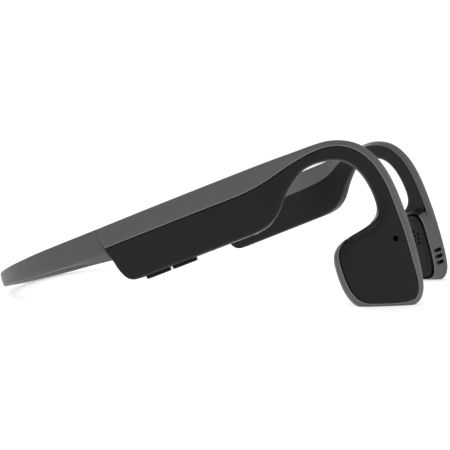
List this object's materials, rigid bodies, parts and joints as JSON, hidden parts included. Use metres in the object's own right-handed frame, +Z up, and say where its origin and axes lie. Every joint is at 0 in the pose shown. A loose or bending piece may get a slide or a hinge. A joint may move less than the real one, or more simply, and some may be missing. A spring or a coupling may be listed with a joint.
{
  "type": "bone conduction headphones",
  "caption": "Wraparound neckband headphones with ear hooks, housing bays behind the ears and angled transducer heads that rest on the cheekbones.",
  "frame": {"origin": "centre of the bounding box at the level of the table the headphones stand on", "axes": "+X from the back of the neckband towards the transducers, +Y towards the wearer's left, +Z up; the object stands on its two transducer heads and the back of the neckband"},
  "size_m": [0.1353, 0.1078, 0.0457],
  "materials": {
    "sleeve_grey": "soft-touch satin",
    "spine_grey": "soft-touch satin",
    "cover_black": "fine matte",
    "button_black": "satin",
    "pad_silicone": "matte silicone",
    "seal_rubber": "matte",
    "inner_plastic": "matte",
    "spring_wire": "drawn wire",
    "cable_jacket": "matte",
    "steel": "satin",
    "magnet_plating": "plated",
    "coil_copper": "enamelled wire",
    "circuit_board": "solder mask",
    "battery_pouch": "foil pouch",
    "lamp_clear": "clear",
    "component_black": "moulded"
  },
  "bodies": {
    "right_arm": {"antenna_chip": "component_black", "board_screws": "steel", "charging_port": "steel", "main_circuit_board": "circuit_board", "microphone": "component_black", "microphone_mesh": "steel", "right_inner_cover": "cover_black", "right_neckband_sleeve": "sleeve_grey", "right_outer_cover": "cover_black", "right_pad_seal": "seal_rubber", "right_signal_cable": "cable_jacket", "right_spine_frame": "spine_grey", "right_spring_plate": "steel", "right_spring_wire": "spring_wire", "right_transducer_magnet": "magnet_plating", "right_transducer_yoke": "steel", "shield_can": "steel", "status_lamp_pipe": "lamp_clear", "volume_down_switch": "component_black", "volume_up_switch": "component_black"},
    "left_arm": {"battery_cell": "battery_pouch", "battery_guard_board": "circuit_board", "left_inner_cover": "cover_black", "left_neckband_sleeve": "sleeve_grey", "left_outer_cover": "cover_black", "left_pad_seal": "seal_rubber", "left_signal_cable": "cable_jacket", "left_spine_frame": "spine_grey", "left_spring_plate": "steel", "left_spring_wire": "spring_wire", "left_transducer_magnet": "magnet_plating", "left_transducer_yoke": "steel", "multifunction_board": "circuit_board", "multifunction_dome_switch": "component_black"},
    "charging_port_cover": {"charging_port_cover": "seal_rubber"},
    "left_pad": {"left_contact_pad": "pad_silicone", "left_pad_carrier": "inner_plastic", "left_voice_coil": "coil_copper"},
    "multifunction_button": {"multifunction_button": "button_black"},
    "neckband": {"neckband_cable": "cable_jacket", "neckband_sleeve_rear": "sleeve_grey", "neckband_spring_wire": "spring_wire"},
    "right_pad": {"right_contact_pad": "pad_silicone", "right_pad_carrier": "inner_plastic", "right_voice_coil": "coil_copper"},
    "volume_down_button": {"volume_down_button": "button_black"},
    "volume_up_button": {"volume_up_button": "button_black"}
  },
  "joints": [
    {"name": "right_arm_flex", "type": "hinge", "parent": "neckband", "child": "right_arm", "pos_m": [-0.0526, -0.04518, 0.00698], "axis": [0.3629, 0, -0.9318], "range_deg": [-4, 18], "stiffness_Nm_per_rad": 0.5},
    {"name": "left_arm_flex", "type": "hinge", "parent": "neckband", "child": "left_arm", "pos_m": [-0.0526, 0.04518, 0.00698], "axis": [-0.3629, 0, 0.9318], "range_deg": [-4, 18], "stiffness_Nm_per_rad": 0.5},
    {"name": "volume_up_press", "type": "slide", "parent": "right_arm", "child": "volume_up_button", "axis": [-0.3629, 0, 0.9318], "range_m": [0, 0.0003], "stiffness_N_per_m": 1500, "springref_m": -0.0002},
    {"name": "volume_down_press", "type": "slide", "parent": "right_arm", "child": "volume_down_button", "axis": [-0.3629, 0, 0.9318], "range_m": [0, 0.0003], "stiffness_N_per_m": 1500, "springref_m": -0.0002},
    {"name": "multifunction_press", "type": "slide", "parent": "left_arm", "child": "multifunction_button", "axis": [-0.4603, -0.8695, -0.1793], "range_m": [0, 0.0003], "stiffness_N_per_m": 1500, "springref_m": -0.0002},
    {"name": "port_cover_hinge", "type": "hinge", "parent": "right_arm", "child": "charging_port_cover", "pos_m": [0.01235, -0.04434, 0.01612], "axis": [-0.1928, 0.9784, -0.0751], "range_deg": [0, 100]},
    {"name": "right_pad_vibration", "type": "slide", "parent": "right_arm", "child": "right_pad", "axis": [-0.4603, 0.8695, -0.1793], "range_m": [-0.00015, 0.00015], "stiffness_N_per_m": 3000},
    {"name": "left_pad_vibration", "type": "slide", "parent": "left_arm", "child": "left_pad", "axis": [-0.4603, -0.8695, -0.1793], "range_m": [-0.00015, 0.00015], "stiffness_N_per_m": 3000}
  ]
}
